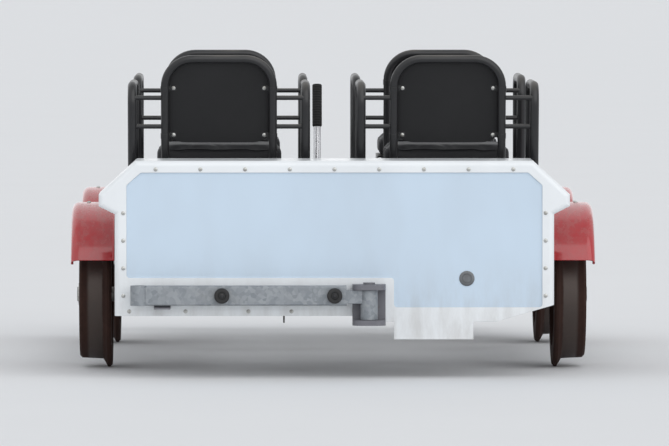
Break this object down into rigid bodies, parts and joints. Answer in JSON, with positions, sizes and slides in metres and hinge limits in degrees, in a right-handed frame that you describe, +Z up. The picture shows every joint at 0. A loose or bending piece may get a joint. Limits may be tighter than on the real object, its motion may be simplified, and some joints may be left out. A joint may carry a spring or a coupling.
{
  "type": "pedal rail cart",
  "caption": "Side-by-side and tandem-seated pedal rail cart with flanged wheels, moulded tail, fenders and a swinging tow bar.",
  "frame": {"origin": "middle of the floor under the wheel flanges, centred between the axles and between the rails", "axes": "+X to the cart's right, +Y forwards along the track, +Z up"},
  "size_m": [1.612, 2.85, 0.9728],
  "materials": {
    "frame_paint": "satin dark grey paint",
    "black_paint": "satin black powder coat",
    "bearing_iron": "cast, oiled",
    "body_plastic": "glossy pale blue-white moulding",
    "red_plastic": "glossy red moulding",
    "galvanised": "galvanised",
    "dark_steel": "dark grey, worn",
    "step_aluminium": "tread plate",
    "black_rubber": "matt",
    "seat_vinyl": "black vinyl over foam",
    "black_plastic": "textured",
    "chain_steel": "oiled",
    "axle_steel": "turned",
    "wheel_iron": "dark, rusty, with a polished tread",
    "crank_alloy": "forged",
    "chrome_steel": "plated"
  },
  "bodies": {
    "chassis": {"side_rails": "frame_paint", "end_beams": "frame_paint", "cross_members": "frame_paint", "long_members": "frame_paint", "axle_bearings": "bearing_iron", "seat_posts": "frame_paint", "seat_beams": "frame_paint", "crank_posts": "frame_paint", "tail_shell": "body_plastic", "nose_panel": "body_plastic", "front_bumper": "galvanised", "bumper_pads": "black_rubber", "front_coupler": "dark_steel", "tow_brackets": "dark_steel", "fenders": "red_plastic", "side_brackets": "frame_paint", "side_steps": "step_aluminium", "seat_hoops": "black_paint", "armrests": "black_paint", "seat_pans": "black_paint", "seat_cushions": "seat_vinyl", "back_plates": "black_plastic", "back_pads": "seat_vinyl", "brake_caliper": "dark_steel", "brake_bracket": "frame_paint", "lever_bracket": "frame_paint", "brake_pipe": "dark_steel", "chains": "chain_steel", "chain_guards": "black_paint"},
    "rear_wheelset": {"rear_axle": "axle_steel", "rear_wheels": "wheel_iron"},
    "front_wheelset": {"front_axle": "axle_steel", "front_wheels": "wheel_iron"},
    "tow_bar": {"tow_bar": "galvanised", "tow_buffers": "black_rubber"},
    "brake_lever": {"brake_lever": "chrome_steel", "lever_grip": "black_rubber"},
    "rear_left_crank": {"rear_left_crankset": "crank_alloy"},
    "rear_left_inner_pedal": {"rear_left_inner_pedal": "black_plastic"},
    "rear_left_outer_pedal": {"rear_left_outer_pedal": "black_plastic"},
    "rear_right_crank": {"rear_right_crankset": "crank_alloy"},
    "rear_right_inner_pedal": {"rear_right_inner_pedal": "black_plastic"},
    "rear_right_outer_pedal": {"rear_right_outer_pedal": "black_plastic"},
    "front_left_crank": {"front_left_crankset": "crank_alloy"},
    "front_left_inner_pedal": {"front_left_inner_pedal": "black_plastic"},
    "front_left_outer_pedal": {"front_left_outer_pedal": "black_plastic"},
    "front_right_crank": {"front_right_crankset": "crank_alloy"},
    "front_right_inner_pedal": {"front_right_inner_pedal": "black_plastic"},
    "front_right_outer_pedal": {"front_right_outer_pedal": "black_plastic"}
  },
  "joints": [
    {"name": "rear_axle_spin", "type": "hinge", "parent": "chassis", "child": "rear_wheelset", "pos_m": [0, -0.7, 0.225], "axis": [1, 0, 0], "continuous": true},
    {"name": "front_axle_spin", "type": "hinge", "parent": "chassis", "child": "front_wheelset", "pos_m": [0, 0.7, 0.225], "axis": [1, 0, 0], "continuous": true},
    {"name": "tow_bar_swing", "type": "hinge", "parent": "chassis", "child": "tow_bar", "pos_m": [0.104, -1.385, 0.253], "axis": [0, 0, 1], "range_deg": [0, 105]},
    {"name": "brake_lever_pull", "type": "hinge", "parent": "chassis", "child": "brake_lever", "pos_m": [-0.045, -0.56, 0.38], "axis": [1, 0, 0], "range_deg": [0, 20]},
    {"name": "rear_left_crank_turn", "type": "hinge", "parent": "chassis", "child": "rear_left_crank", "pos_m": [-0.35, -0.2, 0.425], "axis": [1, 0, 0], "continuous": true},
    {"name": "rear_left_inner_pedal_turn", "type": "hinge", "parent": "rear_left_crank", "child": "rear_left_inner_pedal", "pos_m": [-0.226, -0.07713, 0.51104], "axis": [1, 0, 0], "continuous": true},
    {"name": "rear_left_outer_pedal_turn", "type": "hinge", "parent": "rear_left_crank", "child": "rear_left_outer_pedal", "pos_m": [-0.474, -0.32287, 0.33896], "axis": [1, 0, 0], "continuous": true},
    {"name": "rear_right_crank_turn", "type": "hinge", "parent": "chassis", "child": "rear_right_crank", "pos_m": [0.35, -0.2, 0.425], "axis": [1, 0, 0], "continuous": true},
    {"name": "rear_right_inner_pedal_turn", "type": "hinge", "parent": "rear_right_crank", "child": "rear_right_inner_pedal", "pos_m": [0.226, -0.2513, 0.28405], "axis": [1, 0, 0], "continuous": true},
    {"name": "rear_right_outer_pedal_turn", "type": "hinge", "parent": "rear_right_crank", "child": "rear_right_outer_pedal", "pos_m": [0.474, -0.1487, 0.56595], "axis": [1, 0, 0], "continuous": true},
    {"name": "front_left_crank_turn", "type": "hinge", "parent": "chassis", "child": "front_left_crank", "pos_m": [-0.35, 0.9, 0.425], "axis": [1, 0, 0], "continuous": true},
    {"name": "front_left_inner_pedal_turn", "type": "hinge", "parent": "front_left_crank", "child": "front_left_inner_pedal", "pos_m": [-0.226, 0.86118, 0.56989], "axis": [1, 0, 0], "continuous": true},
    {"name": "front_left_outer_pedal_turn", "type": "hinge", "parent": "front_left_crank", "child": "front_left_outer_pedal", "pos_m": [-0.474, 0.93882, 0.28011], "axis": [1, 0, 0], "continuous": true},
    {"name": "front_right_crank_turn", "type": "hinge", "parent": "chassis", "child": "front_right_crank", "pos_m": [0.35, 0.9, 0.425], "axis": [1, 0, 0], "continuous": true},
    {"name": "front_right_inner_pedal_turn", "type": "hinge", "parent": "front_right_crank", "child": "front_right_inner_pedal", "pos_m": [0.226, 1.01491, 0.32858], "axis": [1, 0, 0], "continuous": true},
    {"name": "front_right_outer_pedal_turn", "type": "hinge", "parent": "front_right_crank", "child": "front_right_outer_pedal", "pos_m": [0.474, 0.78509, 0.52142], "axis": [1, 0, 0], "continuous": true}
  ]
}
